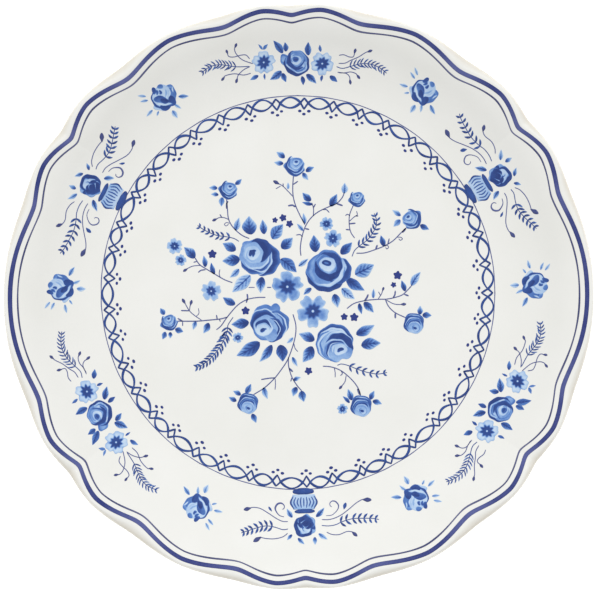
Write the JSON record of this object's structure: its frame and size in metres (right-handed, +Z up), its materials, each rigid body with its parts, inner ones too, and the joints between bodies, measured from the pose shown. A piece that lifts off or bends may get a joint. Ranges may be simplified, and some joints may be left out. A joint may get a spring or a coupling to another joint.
{
  "type": "china dinner plate",
  "caption": "Round china dinner plate with a scalloped rim, a foot ring, a white glaze and a blue printed flower bouquet, chain border and painted rim lines.",
  "frame": {"origin": "centre of the flat bottom of the foot ring, on the surface that the plate stands on", "axes": "+Z up out of the eating side, square to the foot; +Y towards the top of the printed bouquet, +X to its right"},
  "size_m": [0.2724, 0.2702, 0.0244],
  "materials": {
    "bisque": "matte",
    "white_glaze": "gloss",
    "cobalt_line": "gloss",
    "printed_transfer": "gloss"
  },
  "bodies": {
    "root": {"plate_body": "bisque", "glaze_coat": "white_glaze", "base_glaze": "white_glaze", "rim_band": "cobalt_line", "rim_line": "cobalt_line", "chain_border": "printed_transfer", "centre_bouquet": "printed_transfer", "garland_1": "printed_transfer", "garland_2": "printed_transfer", "garland_3": "printed_transfer", "urn_spray_1": "printed_transfer", "urn_spray_2": "printed_transfer", "urn_spray_3": "printed_transfer", "rosebud_1": "printed_transfer", "rosebud_2": "printed_transfer", "rosebud_3": "printed_transfer", "rosebud_4": "printed_transfer", "rosebud_5": "printed_transfer", "rosebud_6": "printed_transfer"}
  },
  "joints": []
}
